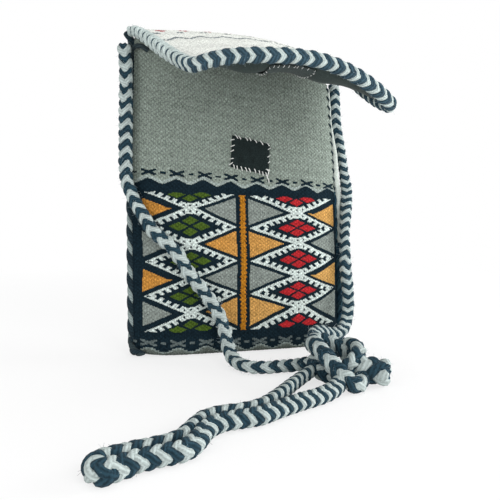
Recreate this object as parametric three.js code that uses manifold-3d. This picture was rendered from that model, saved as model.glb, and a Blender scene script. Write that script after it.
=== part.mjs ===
import * as THREE from "three";
import { mergeVertices } from "three/addons/utils/BufferGeometryUtils.js";
import Module from "manifold-3d";

const wasm = await Module();
wasm.setup();

// Driving dimensions in millimetres
const BASE_WIDTH = 158; // cloth from seam to seam at the base
const MOUTH_NARROWING = 16.5; // the mouth is drawn in by this much, because it gapes
const BAG_DEPTH = 37; // outside, front to back at the belly
const MOUTH_DEPTH = 27; // outside, front to back at the mouth
const FRONT_HEIGHT = 213; // hem of the front panel on the centre line
const BACK_RISE = 9; // the back panel turns over into the flap this far above that hem
const FRONT_SLANT = 11; // the hem falls to the right by this much at each seam
const HEM_RISE = 3; // the hem's left end is pulled up by this much more
const BACK_SLANT = 6;
const LEAN = 4.2; // the mouth leans to the left by this much
const CLOTH = 3; // thickness of the woven cloth
const LINING = 1; // thickness of the dark lining
const GAP = 0.3; // between pieces that touch
const FOLD_RADIUS = 4.5; // middle of the cloth at the two base folds
const CORNER_LIFT = 0.8; // bottom corners are rounded up by this much

// Flap, open and held out over the front
const FLAP_REACH = 106; // its front edge ahead of the bag's middle plane
const FLAP_DROP = 29.3; // its front edge below the top of the back on the centre line
const FLAP_NARROWING = 43; // its front edge is drawn in by this much against the base
const FLAP_SHIFT = 7; // the front edge swings to the right by this much
const FLAP_SKEW = 11; // and more so at its two ends
const FLAP_BOW = 15; // the front edge bows forward
const EDGE_RISE = 48; // how stiffly the cloth rises at its edges before it turns over
const MIDDLE_RISE = 88; // and on its centre line
const DROOP_LEFT = 1.5; // how far the front corners hang down
const DROOP_RIGHT = 19.5;

// Edging, strap and fastening
const BRAID = 9.4; // flap edging, across the plait
const BRAID_STITCH = 5; // one strand to the next along the plait
const BINDING = 5.2; // rope along the side seams, across
const BINDING_TURN = 16; // one full twist of that rope
const STRAP = 9.4; // shoulder strap, across the plait
const PATCH_WIDTH = 28;
const PATCH_HEIGHT = 24;
const PATCH_THICK = 1.6;
const PATCH_ANGLE = -0.19; // the front patch is sewn on askew
const RELIEF = 1.1; // brocaded pattern above the ground weave

// Kilim pattern on the front panel, from the centre line and the floor
const FIELD_LOW = 18.5;
const DIAMOND = 25; // height of one diamond
const DIAMOND_HALF = 33; // half its width
const COLUMN = 39; // centre line of a column of diamonds
const FRAME_LINE = 2.6; // width of the pale frame lines
const LOZENGE_LONG = 11;
const LOZENGE_TALL = 6.2;
const CENTRE_BAR = 5;

const MOUTH_WIDTH = BASE_WIDTH - MOUTH_NARROWING;
const BACK_HEIGHT = FRONT_HEIGHT + BACK_RISE;
const FLAP_WIDTH = BASE_WIDTH - FLAP_NARROWING;
const FLAP_HEIGHT = BACK_HEIGHT - FLAP_DROP;
const SEAM = CLOTH / 2 + GAP;
const lerp = THREE.MathUtils.lerp;
const clamp = THREE.MathUtils.clamp;

// The cloth is one long strip: front, base, back and flap.
// u runs from seam to seam (-1 to 1) and s along the strip:
// 0 front hem, 1 front base fold, 2 back base fold, 3 top of the back, 4 flap edge.
function halfWidth(z) {
  return lerp(BASE_WIDTH, MOUTH_WIDTH, (z / BACK_HEIGHT) ** 2) / 2;
}

function sideShift(z) {
  return -LEAN * (z / BACK_HEIGHT) ** 2;
}

function halfDepth(u, z) {
  const up = clamp(z / BACK_HEIGHT, 0, 1);
  const belly = lerp(BAG_DEPTH, MOUTH_DEPTH, up * up) / 2 - CLOTH / 2 - SEAM;
  const fullness = lerp(6, 3, up);
  return SEAM + belly * (1 - Math.abs(u) ** fullness);
}

function frontHem(u) {
  return FRONT_HEIGHT - FRONT_SLANT * u + HEM_RISE * Math.min(u, 0) ** 2;
}

function backTop(u) {
  return BACK_HEIGHT - BACK_SLANT * u;
}

function underside(u) {
  return CLOTH / 2 + CORNER_LIFT * clamp((Math.abs(u) - 0.75) / 0.25, 0, 1) ** 2;
}

function foldRadius(u) {
  return Math.min(FOLD_RADIUS, halfDepth(u, FOLD_RADIUS));
}

function wall(u, z, side) {
  return new THREE.Vector3(sideShift(z) + u * halfWidth(z), side * halfDepth(u, z), z);
}

function basePoint(u, t) {
  const r = foldRadius(u);
  const low = underside(u);
  const deep = halfDepth(u, low + r);
  const x = sideShift(low + r) + u * halfWidth(low + r);
  if (t < 1 / 3) {
    const a = t * 1.5 * Math.PI;
    return new THREE.Vector3(x, -deep + r * (1 - Math.cos(a)), low + r * (1 - Math.sin(a)));
  }
  if (t > 2 / 3) {
    const a = (1 - t) * 1.5 * Math.PI;
    return new THREE.Vector3(x, deep - r * (1 - Math.cos(a)), low + r * (1 - Math.sin(a)));
  }
  return new THREE.Vector3(x, (deep - r) * (6 * t - 3), low);
}

function flapEdge(u) {
  const droop = u < 0 ? DROOP_LEFT * Math.abs(u) ** 5 : DROOP_RIGHT * u ** 2.2;
  const x = FLAP_SHIFT + (FLAP_WIDTH / 2) * u + FLAP_SKEW * u * u;
  return new THREE.Vector3(x, -FLAP_REACH + FLAP_BOW * u * u, FLAP_HEIGHT - droop);
}

function flapPoint(u, t) {
  const v = t * (1 - 0.04 * Math.abs(u) ** 8);
  const start = wall(u, backTop(u), 1);
  const end = flapEdge(u);
  const leave = new THREE.Vector3(0, -0.25, 1).multiplyScalar(lerp(MIDDLE_RISE, EDGE_RISE, u * u));
  const arrive = new THREE.Vector3(end.x - start.x, -FLAP_REACH, -0.25 * FLAP_REACH);
  const v2 = v * v;
  const v3 = v2 * v;
  return start
    .multiplyScalar(2 * v3 - 3 * v2 + 1)
    .addScaledVector(leave, v3 - 2 * v2 + v)
    .addScaledVector(end, 3 * v2 - 2 * v3)
    .addScaledVector(arrive, v3 - v2);
}

function clothPoint(u, s) {
  const foot = underside(u) + foldRadius(u);
  if (s <= 1) return wall(u, lerp(frontHem(u), foot, s), -1);
  if (s < 2) return basePoint(u, s - 1);
  if (s <= 3) return wall(u, lerp(foot, backTop(u), s - 2), 1);
  return flapPoint(u, s - 3);
}

// Outward normal of the middle surface, and a point lifted off it
function clothNormal(u, s) {
  const d = 1e-3;
  const across = clothPoint(Math.min(u + d, 1), s).sub(clothPoint(Math.max(u - d, -1), s));
  const along = clothPoint(u, Math.min(s + d, 4)).sub(clothPoint(u, Math.max(s - d, 0)));
  return along.cross(across).normalize();
}

function lifted(u, s, lift) {
  return clothPoint(u, s).addScaledVector(clothNormal(u, s), lift);
}

function frontStation(u, z) {
  const foot = underside(u) + foldRadius(u);
  return (frontHem(u) - z) / (frontHem(u) - foot);
}

function onFront(x, z, lift) {
  const u = x / (BASE_WIDTH / 2);
  return lifted(u, frontStation(u, z), lift);
}

// Closed sheet between two lifts of the cloth's middle surface
function sheet(columns, rows, low, high) {
  const points = [];
  for (const s of rows) for (const u of columns) points.push(lifted(u, s, high));
  for (const s of rows) for (const u of columns) points.push(lifted(u, s, low));
  const wide = columns.length;
  const under = wide * rows.length;
  const faces = [];
  const quad = (a, b, c, d) => faces.push(a, b, c, a, c, d);
  for (let j = 0; j + 1 < rows.length; j++) {
    for (let i = 0; i + 1 < wide; i++) {
      const a = j * wide + i;
      quad(a, a + wide, a + wide + 1, a + 1);
      quad(under + a, under + a + 1, under + a + wide + 1, under + a + wide);
    }
    const left = j * wide;
    const right = left + wide - 1;
    quad(left, under + left, under + left + wide, left + wide);
    quad(right, right + wide, under + right + wide, under + right);
  }
  const last = (rows.length - 1) * wide;
  for (let i = 0; i + 1 < wide; i++) {
    quad(i, i + 1, under + i + 1, under + i);
    quad(last + i, under + last + i, under + last + i + 1, last + i + 1);
  }
  return geometryOf(points, faces);
}

// Closed body through a row of rings, each ring turning the same way about the line
function skin(rings) {
  const points = rings.flat();
  const n = rings[0].length;
  const faces = [];
  for (let j = 0; j + 1 < rings.length; j++) {
    for (let k = 0; k < n; k++) {
      const a = j * n + k;
      const b = j * n + ((k + 1) % n);
      faces.push(a, b, a + n, b, b + n, a + n);
    }
  }
  const middle = (ring) => ring.reduce((sum, p) => sum.add(p), new THREE.Vector3()).divideScalar(n);
  const last = (rings.length - 1) * n;
  points.push(middle(rings[0]), middle(rings[rings.length - 1]));
  for (let k = 0; k < n; k++) {
    faces.push(points.length - 2, (k + 1) % n, k);
    faces.push(points.length - 1, last + k, last + ((k + 1) % n));
  }
  return geometryOf(points, faces);
}

function geometryOf(points, faces) {
  const geometry = new THREE.BufferGeometry().setFromPoints(points);
  geometry.setIndex(faces);
  geometry.computeVertexNormals();
  return geometry;
}

// Rope or plait along a curve; its radius depends on the angle and on the way along it
function rope(curve, steps, sides, up, radiusAt) {
  const rings = [];
  const length = curve.getLength();
  for (let i = 0; i <= steps; i++) {
    const centre = curve.getPointAt(i / steps);
    const along = curve.getTangentAt(i / steps);
    const side = new THREE.Vector3().crossVectors(up, along).normalize();
    const top = new THREE.Vector3().crossVectors(along, side);
    const ring = [];
    for (let k = 0; k < sides; k++) {
      const angle = (2 * Math.PI * k) / sides;
      const r = radiusAt(angle, (length * i) / steps);
      const p = centre.clone().addScaledVector(side, r * Math.cos(angle));
      ring.push(p.addScaledVector(top, r * Math.sin(angle)));
    }
    rings.push(ring);
  }
  return skin(rings);
}

// Raised strip along a line drawn on the front panel, with a width at each point
function ridge(line, widths, low, high) {
  const rings = [];
  for (let i = 0; i < line.length; i++) {
    const before = line[Math.max(i - 1, 0)];
    const after = line[Math.min(i + 1, line.length - 1)];
    const dir = after.clone().sub(before).normalize();
    const half = new THREE.Vector2(-dir.y, dir.x).multiplyScalar(widths[i] / 2);
    const a = line[i].clone().add(half);
    const b = line[i].clone().sub(half);
    const ring = [onFront(a.x, a.y, low), onFront(a.x, a.y, high)];
    ring.push(onFront(b.x, b.y, high), onFront(b.x, b.y, low));
    rings.push(ring);
  }
  return skin(rings);
}

function finely(corners, pieces) {
  const line = [corners[0]];
  for (let i = 1; i < corners.length; i++) {
    for (let k = 1; k <= pieces; k++) {
      line.push(corners[i - 1].clone().lerp(corners[i], k / pieces));
    }
  }
  return line;
}

function solidOf(geometry) {
  const bare = geometry.clone();
  bare.deleteAttribute("normal");
  bare.deleteAttribute("uv");
  const merged = mergeVertices(bare, 1e-4);
  const vertProperties = merged.attributes.position.array;
  const triVerts = new Uint32Array(merged.index.array);
  return new wasm.Manifold(new wasm.Mesh({ numProp: 3, vertProperties, triVerts }));
}

function geometryFrom(solid) {
  const mesh = solid.getMesh();
  const geometry = new THREE.BufferGeometry();
  geometry.setAttribute("position", new THREE.BufferAttribute(mesh.vertProperties, 3));
  geometry.setIndex(new THREE.BufferAttribute(mesh.triVerts, 1));
  geometry.computeVertexNormals();
  return geometry;
}

// Kilim cloth with its brocaded pattern
const COLUMNS = [-1, -0.966, -0.866, -0.707, -0.5, -0.26, 0, 0.26, 0.5, 0.707, 0.866, 0.966, 1];
const FRONT_ROWS = [0, 0.04, 0.14, 0.26, 0.38, 0.5, 0.62, 0.74, 0.87];
const BASE_ROWS = [1, 1 + 1 / 9, 1 + 2 / 9, 1 + 1 / 3, 1 + 2 / 3, 1 + 7 / 9, 1 + 8 / 9];
const BACK_ROWS = [2, 2.15, 2.32, 2.5, 2.68, 2.86];
const FLAP_ROWS = [3.012, 3.1, 3.2, 3.3, 3.42, 3.55, 3.7, 3.85, 3.95, 4];
const POUCH_ROWS = [...FRONT_ROWS, ...BASE_ROWS, ...BACK_ROWS, 3];

const RIDGE_LOW = CLOTH / 2 - 0.8;
const RIDGE_HIGH = CLOTH / 2 + RELIEF;
const pattern = [];

function addRidge(corners, pieces, widthAt) {
  const line = finely(corners.map(([x, z]) => new THREE.Vector2(x, z)), pieces);
  const widths = line.map((p, i) => widthAt(i / (line.length - 1)));
  pattern.push(ridge(line, widths, RIDGE_LOW, RIDGE_HIGH));
}

function addLozenge(x, z) {
  const half = LOZENGE_LONG / 2;
  const widthAt = (t) => 0.8 + (LOZENGE_TALL - 0.8) * (1 - Math.abs(2 * t - 1));
  addRidge([[x - half, z], [x, z], [x + half, z]], 1, widthAt);
}

for (const column of [-COLUMN, COLUMN]) {
  for (const side of [-1, 1]) {
    const zigzag = [];
    for (let k = 0; k <= 8; k++) {
      const inset = FRAME_LINE * 0.4;
      const x = k % 2 === 0 ? column + side * DIAMOND_HALF : column + side * inset;
      zigzag.push([x, FIELD_LOW + (k * DIAMOND) / 2]);
    }
    addRidge(zigzag, 2, () => FRAME_LINE);
  }
  for (let k = 0; k <= 4; k++) {
    const z = FIELD_LOW + k * DIAMOND;
    const edge = k === 0 ? 1 : k === 4 ? -1 : 0;
    addLozenge(column - 0.75 * LOZENGE_LONG, z + edge * 2.5);
    addLozenge(column + 0.75 * LOZENGE_LONG, z + edge * 2.5);
    if (edge >= 0) addLozenge(column, z + 0.57 * LOZENGE_TALL + edge * 2);
    if (edge <= 0) addLozenge(column, z - 0.57 * LOZENGE_TALL + edge * 2);
  }
}
addRidge([[0, FIELD_LOW], [0, FIELD_LOW + 4 * DIAMOND]], 8, () => CENTRE_BAR);

// The pouch and the flap are one strip, parted by a hair where it turns over at the top
let pouch = solidOf(sheet(COLUMNS, POUCH_ROWS, -CLOTH / 2, CLOTH / 2));
for (const piece of pattern) pouch = pouch.add(solidOf(piece));
const flap = sheet(COLUMNS, FLAP_ROWS, -CLOTH / 2, CLOTH / 2);

// Lining, a little inside the cloth all round
const INSIDE = -CLOTH / 2 - GAP;
const LINING_ROWS = [...FRONT_ROWS.slice(1), ...BASE_ROWS, ...BACK_ROWS, ...FLAP_ROWS.slice(0, -1)];
const lining = sheet(COLUMNS.slice(2, -2), LINING_ROWS, INSIDE - LINING, INSIDE);

// Fastening patches: one on the front, one under the flap
const patchCentre = new THREE.Vector2(8.5, 0.685 * FRONT_HEIGHT);
const patchAlong = new THREE.Vector2(PATCH_WIDTH / 2, 0).rotateAround(new THREE.Vector2(), PATCH_ANGLE);
const patchEnds = [patchCentre.clone().sub(patchAlong), patchCentre.clone().add(patchAlong)];
const patchLine = finely(patchEnds, 4);
const frontPatch = ridge(
  patchLine,
  patchLine.map(() => PATCH_HEIGHT),
  CLOTH / 2 + GAP,
  CLOTH / 2 + GAP + PATCH_THICK,
);

const PATCH_SEAT = INSIDE - LINING - 0.8;
const flapPatchRings = [];
for (let k = 0; k <= 4; k++) {
  const u = 0.08 + ((k - 2) * PATCH_WIDTH) / 2 / FLAP_WIDTH;
  const near = 3.93;
  const far = near - PATCH_HEIGHT / 125;
  const ring = [lifted(u, far, PATCH_SEAT - PATCH_THICK), lifted(u, far, PATCH_SEAT)];
  ring.push(lifted(u, near, PATCH_SEAT), lifted(u, near, PATCH_SEAT - PATCH_THICK));
  flapPatchRings.push(ring);
}
const flapPatch = skin(flapPatchRings);

// Plaited edging round the three free edges of the flap
function beyondEdge(u, t, du, dt) {
  const d = 1e-3;
  const here = flapPoint(u, t);
  const out = here.clone().sub(flapPoint(u - du * d, t - dt * d));
  const along = flapPoint(u + dt * d, t - du * d).sub(flapPoint(u - dt * d, t + du * d)).normalize();
  out.addScaledVector(along, -out.dot(along)).normalize();
  return here.addScaledVector(out, BRAID * 0.56 + GAP);
}
const edgeLine = [];
for (const t of [0.1, 0.15, 0.22, 0.3, 0.4, 0.5, 0.6, 0.72, 0.84, 0.92]) edgeLine.push(beyondEdge(-1, t, -1, 0));
edgeLine.push(beyondEdge(-0.99, 1, -0.8, 0.7));
for (const u of [-0.86, -0.66, -0.44, -0.22, 0, 0.22, 0.44, 0.66, 0.86]) edgeLine.push(beyondEdge(u, 1, 0, 1));
edgeLine.push(beyondEdge(0.99, 1, 0.8, 0.7));
for (const t of [0.92, 0.84, 0.72, 0.6, 0.5, 0.4, 0.3, 0.22, 0.15, 0.1]) edgeLine.push(beyondEdge(1, t, 1, 0));
const edgeCurve = new THREE.CatmullRomCurve3(edgeLine, false, "centripetal");

// Strands of a plait lean one way and the other in turn round it
function plaitRadius(angle, way) {
  const quarter = Math.floor((angle + Math.PI / 4) / (Math.PI / 2));
  const within = angle - (quarter * Math.PI) / 2;
  const lean = quarter % 2 === 0 ? 1 : -1;
  const phase = way / BRAID_STITCH + (lean * within) / Math.PI;
  return (BRAID / 2) * (0.94 + 0.12 * Math.cos(2 * Math.PI * phase));
}
const upward = new THREE.Vector3(0, 0.3, 1).normalize();
const braidSteps = Math.round((edgeCurve.getLength() / BRAID_STITCH) * 3);
const flapBraid = rope(edgeCurve, braidSteps, 8, upward, plaitRadius);

// Two-ply rope along each side seam
function seamBinding(side) {
  const top = frontHem(side) - BINDING / 2;
  const line = [];
  for (let k = 0; k <= 8; k++) {
    const z = lerp(CORNER_LIFT + BINDING * 0.62, top, k / 8);
    const out = halfWidth(z) + GAP + BINDING * 0.56;
    line.push(new THREE.Vector3(sideShift(z) + side * out, 0, z));
  }
  const curve = new THREE.CatmullRomCurve3(line);
  const steps = Math.round((curve.getLength() / BINDING_TURN) * 5);
  const radiusAt = (angle, way) =>
    (BINDING / 2) * (1 + 0.2 * Math.cos(2 * (angle - (2 * Math.PI * way) / BINDING_TURN)));
  return rope(curve, steps, 6, new THREE.Vector3(0, 1, 0), radiusAt);
}

// Strap routes, drawn for a bag of this size and moved with it
const DRAWN_WIDTH = 158;
const DRAWN_HEIGHT = 213;
const DRAWN_DEPTH = 37;
const DRAWN_STRAP = 9.4;
const LEFT_ROUTE = [
  [-83, -7.4, 221], [-82, -8, 210], [-81.9, -8.2, 197], [-82.2, -8.2, 183], [-82.5, -8.2, 168],
  [-82.9, -8.2, 153], [-83.2, -8.6, 139], [-82.5, -8.8, 126], [-79.8, -9.4, 118.5], [-76.2, -11.4, 110],
  [-71.1, -14.7, 101.7], [-65.3, -18, 91.7], [-59.6, -20.3, 86.5], [-53.5, -22.1, 81], [-46, -23.5, 70.8],
  [-40, -24.2, 60.5], [-31.8, -24.6, 49.5], [-24, -24.8, 38.7], [-18.4, -25.6, 28], [-16, -30, 18],
  [-15.4, -40, 9.5], [-13.2, -55, 5], [-7, -68, 4.8], [3, -71.5, 4.8], [14, -71, 4.8],
  [23, -71.5, 5], [30, -73.5, 6.5], [37, -77, 8.5],
];
const RIGHT_ROUTE = [
  [78.5, 6.4, 204.5], [79.6, 6.4, 189], [81.2, 6, 171], [84.8, 5, 153.5], [86.5, 2, 135.5],
  [87.4, -2, 118], [85, -6.6, 103.5], [83.7, -7.8, 89], [84.2, -8.4, 71.7], [84.5, -9.6, 57.7],
  [85.6, -11.5, 43.7], [84.8, -14.5, 30], [81, -20, 20.5], [73.5, -29, 15.5], [62, -38, 16],
  [50, -47, 20.5], [42, -56, 21.5], [39.5, -64, 20.5], [41, -72, 19.5],
];
const LOOP_ROUTE = [
  [41, -108, 7.5], [32, -119, 5.4], [21, -127, 4.8], [6, -134, 4.8], [-9, -141.5, 4.8],
  [-21, -148, 4.8], [-30, -149.5, 4.8], [-40, -151, 4.8], [-48.5, -157.5, 4.8], [-54.5, -168.5, 4.8],
  [-61, -176.5, 4.8], [-68, -178.8, 4.8], [-76, -180.5, 4.8], [-83.5, -183, 4.8], [-89.5, -186.5, 4.8],
  [-94.5, -188.5, 4.8], [-98.6, -184.5, 4.8], [-97, -178.5, 4.8], [-90, -175.4, 4.8], [-81.5, -172.2, 4.8],
  [-71.5, -169, 4.8], [-62, -164, 4.8], [-55, -153.5, 4.8], [-48, -143.8, 4.8], [-39, -139.6, 4.8],
  [-28, -138.6, 4.8], [-16, -134, 4.8], [-3.5, -122, 4.8], [8, -108.5, 4.8], [20, -96, 5.4],
  [32, -88, 8],
];
const KNOT_FRONT = [
  [33, -77, 21], [31.5, -95, 20.5], [35, -106, 14.5], [40, -113.5, 8], [46, -116, 4.55], [52, -109, 4.55],
  [56, -96, 7], [55, -82, 13], [46, -72, 19],
];
const KNOT_ROUND = [
  [31, -86, 8], [38, -99, 5.2], [49, -101, 12], [58, -92, 18], [57, -77, 17.5], [44, -69, 11],
];
const KNOT_EAR = [
  [49, -97, 8.6], [55, -101, 8.2], [62, -106, 7.7], [68, -110.5, 7.7],
];

function place([x, y, z]) {
  const thicker = (STRAP - DRAWN_STRAP) / 2;
  const fromBag = thicker + (BAG_DEPTH - DRAWN_DEPTH) / 2;
  const stretched = (x * BASE_WIDTH) / DRAWN_WIDTH + Math.sign(x) * thicker;
  const up = z > 30 ? (z * FRONT_HEIGHT) / DRAWN_HEIGHT : z + thicker;
  return new THREE.Vector3(stretched, y - fromBag, up);
}

function cord(route, across, steps, closed) {
  const round = [];
  for (let k = 0; k < 8; k++) {
    const angle = (2 * Math.PI * (k + 0.5)) / 8;
    round.push(new THREE.Vector2(Math.cos(angle), Math.sin(angle)).multiplyScalar(across / 2));
  }
  const curve = new THREE.CatmullRomCurve3(route.map(place), closed, "centripetal");
  const section = new THREE.Shape(round);
  return new THREE.ExtrudeGeometry(section, { steps, bevelEnabled: false, extrudePath: curve });
}

function knot(across) {
  const front = solidOf(cord(KNOT_FRONT, across, 14, true));
  const round = solidOf(cord(KNOT_ROUND, across, 12, true));
  const ear = solidOf(cord(KNOT_EAR, across * 1.55, 5, false));
  return front.add(round).add(ear);
}

// The strap's runs stop just short of the knot they go into
const knotRoom = knot(STRAP + 2 * GAP);
function strapRun(route, steps) {
  const bodies = solidOf(cord(route, STRAP, steps, false)).subtract(knotRoom).decompose();
  bodies.sort((a, b) => b.volume() - a.volume());
  return geometryFrom(bodies[0]);
}

const group = new THREE.Group();

function add(name, geometry, color, roughness) {
  const material = new THREE.MeshStandardMaterial({ color, roughness, metalness: 0 });
  const mesh = new THREE.Mesh(geometry, material);
  mesh.name = name;
  group.add(mesh);
}

add("pouch_cloth", geometryFrom(pouch), 0x8b8f88, 0.95);
add("flap_cloth", flap, 0xb9bcb6, 0.95);
add("lining", lining, 0x3a4046, 0.8);
add("front_closure_patch", frontPatch, 0x20262a, 0.95);
add("flap_closure_patch", flapPatch, 0x20262a, 0.95);
add("flap_braid", flapBraid, 0x5b7084, 0.9);
add("left_seam_binding", seamBinding(-1), 0x2a3b4a, 0.9);
add("right_seam_binding", seamBinding(1), 0x2a3b4a, 0.9);
add("strap_left_run", strapRun(LEFT_ROUTE, 38), 0x7d8d98, 0.9);
add("strap_right_run", strapRun(RIGHT_ROUTE, 28), 0x7d8d98, 0.9);
add("strap_knot", geometryFrom(knot(STRAP)), 0x7d8d98, 0.9);
add("strap_loop", strapRun(LOOP_ROUTE, 42), 0x7d8d98, 0.9);

export default group;
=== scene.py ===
"""Kilim shoulder pouch with an open flap and a knotted plaited strap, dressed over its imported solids."""

import math

import bpy
import numpy as np
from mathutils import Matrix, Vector


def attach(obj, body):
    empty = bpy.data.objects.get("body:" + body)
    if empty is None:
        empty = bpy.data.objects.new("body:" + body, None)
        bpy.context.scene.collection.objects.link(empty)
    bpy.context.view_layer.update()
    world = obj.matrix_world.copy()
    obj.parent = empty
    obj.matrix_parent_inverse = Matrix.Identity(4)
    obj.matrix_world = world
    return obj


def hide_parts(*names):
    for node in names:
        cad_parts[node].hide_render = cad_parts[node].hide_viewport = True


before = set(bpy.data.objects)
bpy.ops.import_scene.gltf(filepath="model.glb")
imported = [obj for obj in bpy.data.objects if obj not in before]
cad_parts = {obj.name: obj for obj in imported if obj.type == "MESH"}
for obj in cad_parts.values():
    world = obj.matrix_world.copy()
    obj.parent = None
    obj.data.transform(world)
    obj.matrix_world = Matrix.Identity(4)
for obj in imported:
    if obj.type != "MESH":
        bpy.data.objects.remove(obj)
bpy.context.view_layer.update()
rng = np.random.default_rng(11)
MM = 0.001

# Sizes in millimetres, as in the solids
BASE_WIDTH, MOUTH_WIDTH = 158.0, 141.5
BAG_DEPTH, MOUTH_DEPTH = 37.0, 27.0
FRONT_HEIGHT, BACK_HEIGHT = 213.0, 222.0
FRONT_SLANT, HEM_RISE, BACK_SLANT = 11.0, 3.0, 6.0
LEAN = 4.2
CLOTH, GAP = 3.0, 0.3
SEAM = CLOTH / 2 + GAP
FOLD_RADIUS, CORNER_LIFT = 4.5, 0.8
FLAP_REACH, FLAP_HEIGHT, FLAP_WIDTH = 106.0, 192.7, 115.0
FLAP_SHIFT, FLAP_SKEW, FLAP_BOW = 7.0, 11.0, 15.0
EDGE_RISE, MIDDLE_RISE = 48.0, 88.0
DROOP_LEFT, DROOP_RIGHT = 1.5, 19.5
BRAID = 9.4
FLAP_LENGTH = 125.0

# Shares and powers that shape the cloth
BASE_SQUARENESS, MOUTH_SQUARENESS = 6, 3
CORNER_START = 0.75
FLAP_TILT, FLAP_CORNER = 0.25, 0.04

# Strap routes in metres
LEFT_ROUTE = [
    (-0.083, -0.0074, 0.221), (-0.082, -0.008, 0.21), (-0.0819, -0.0082, 0.197),
    (-0.0822, -0.0082, 0.183), (-0.0825, -0.0082, 0.168), (-0.0829, -0.0082, 0.153),
    (-0.0832, -0.0086, 0.139), (-0.0825, -0.0088, 0.126), (-0.0798, -0.0094, 0.1185),
    (-0.0762, -0.0114, 0.11), (-0.0711, -0.0147, 0.1017), (-0.0653, -0.018, 0.0917),
    (-0.0596, -0.0203, 0.0865), (-0.0535, -0.0221, 0.081), (-0.046, -0.0235, 0.0708),
    (-0.04, -0.0242, 0.0605), (-0.0318, -0.0246, 0.0495), (-0.024, -0.0248, 0.0387),
    (-0.0184, -0.0256, 0.028), (-0.016, -0.03, 0.018), (-0.0154, -0.04, 0.0095),
    (-0.0132, -0.055, 0.005), (-0.007, -0.068, 0.0048), (0.003, -0.0715, 0.0048),
    (0.014, -0.071, 0.0048), (0.023, -0.0715, 0.005), (0.03, -0.0735, 0.0065), (0.037, -0.077, 0.0085),
]
RIGHT_ROUTE = [
    (0.0785, 0.0064, 0.2045), (0.0796, 0.0064, 0.189), (0.0812, 0.006, 0.171), (0.0848, 0.005, 0.1535),
    (0.0865, 0.002, 0.1355), (0.0874, -0.002, 0.118), (0.085, -0.0066, 0.1035),
    (0.0837, -0.0078, 0.089), (0.0842, -0.0084, 0.0717), (0.0845, -0.0096, 0.0577),
    (0.0856, -0.0115, 0.0437), (0.0848, -0.0145, 0.03), (0.081, -0.02, 0.0205),
    (0.0735, -0.029, 0.0155), (0.062, -0.038, 0.016), (0.05, -0.047, 0.0205), (0.042, -0.056, 0.0215),
    (0.0395, -0.064, 0.0205), (0.041, -0.072, 0.0195),
]
LOOP_ROUTE = [
    (0.041, -0.108, 0.0075), (0.032, -0.119, 0.0054), (0.021, -0.127, 0.0048), (0.006, -0.134, 0.0048),
    (-0.009, -0.1415, 0.0048), (-0.021, -0.148, 0.0048), (-0.03, -0.1495, 0.0048),
    (-0.04, -0.151, 0.0048), (-0.0485, -0.1575, 0.0048), (-0.0545, -0.1685, 0.0048),
    (-0.061, -0.1765, 0.0048), (-0.068, -0.1788, 0.0048), (-0.076, -0.1805, 0.0048),
    (-0.0835, -0.183, 0.0048), (-0.0895, -0.1865, 0.0048), (-0.0945, -0.1885, 0.0048),
    (-0.0986, -0.1845, 0.0048), (-0.097, -0.1785, 0.0048), (-0.09, -0.1754, 0.0048),
    (-0.0815, -0.1722, 0.0048), (-0.0715, -0.169, 0.0048), (-0.062, -0.164, 0.0048),
    (-0.055, -0.1535, 0.0048), (-0.048, -0.1438, 0.0048), (-0.039, -0.1396, 0.0048),
    (-0.028, -0.1386, 0.0048), (-0.016, -0.134, 0.0048), (-0.0035, -0.122, 0.0048),
    (0.008, -0.1085, 0.0048), (0.02, -0.096, 0.0054), (0.032, -0.088, 0.008),
]
KNOT_FRONT = [
    (0.033, -0.077, 0.021), (0.0315, -0.095, 0.0205), (0.035, -0.106, 0.0145), (0.04, -0.1135, 0.008),
    (0.046, -0.116, 0.0046), (0.052, -0.109, 0.0046), (0.056, -0.096, 0.007), (0.055, -0.082, 0.013),
    (0.046, -0.072, 0.019),
]
KNOT_ROUND = [
    (0.031, -0.086, 0.008), (0.038, -0.099, 0.0052), (0.049, -0.101, 0.012), (0.058, -0.092, 0.018),
    (0.057, -0.077, 0.0175), (0.044, -0.069, 0.011),
]
KNOT_EAR = [
    (0.049, -0.097, 0.0086), (0.055, -0.101, 0.0082), (0.062, -0.106, 0.0077), (0.068, -0.1105, 0.0077),
]

# Colours, linear
GREY = (0.212, 0.25, 0.219)
PALE_GREY = (0.285, 0.335, 0.315)
DIM_GREY = (0.1, 0.125, 0.125)
# Grey ground darkened below the lower border of the front: painted shade where the cloth curves under the
# base
LOW_GREY_SHADED = (0.115, 0.135, 0.12)
STEP_GREY = (0.2, 0.24, 0.225)
FIELD_GREY = (0.2, 0.228, 0.21)
NAVY = (0.0065, 0.0155, 0.0225)
WHITE = (0.505, 0.57, 0.545)
GREEN = (0.055, 0.096, 0.0145)
RED = (0.36, 0.019, 0.023)
OCHRE = (0.44, 0.2, 0.04)
PALE_OCHRE = (0.49, 0.28, 0.088)
BAR = (0.37, 0.15, 0.014)
FLAP_PALE = (0.7, 0.72, 0.68)
FLAP_DARK = (0.17, 0.2, 0.21)
FLAP_RED = (0.36, 0.12, 0.13)


# Middle surface of the cloth
# u runs from seam to seam (-1 to 1) and s along the strip:
# 0 front hem, 1 front base fold, 2 back base fold, 3 top of the back, 4 flap edge.
def mix(a, b, t):
    return a + (b - a) * t


def half_width(z):
    return mix(BASE_WIDTH, MOUTH_WIDTH, (z / BACK_HEIGHT) ** 2) / 2


def side_shift(z):
    return -LEAN * (z / BACK_HEIGHT) ** 2


def half_depth(u, z):
    up = np.clip(z / BACK_HEIGHT, 0, 1)
    belly = mix(BAG_DEPTH, MOUTH_DEPTH, up * up) / 2 - CLOTH / 2 - SEAM
    return SEAM + belly * (1 - np.abs(u) ** mix(BASE_SQUARENESS, MOUTH_SQUARENESS, up))


def front_hem(u):
    return FRONT_HEIGHT - FRONT_SLANT * u + HEM_RISE * np.minimum(u, 0) ** 2


def back_top(u):
    return BACK_HEIGHT - BACK_SLANT * u


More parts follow.
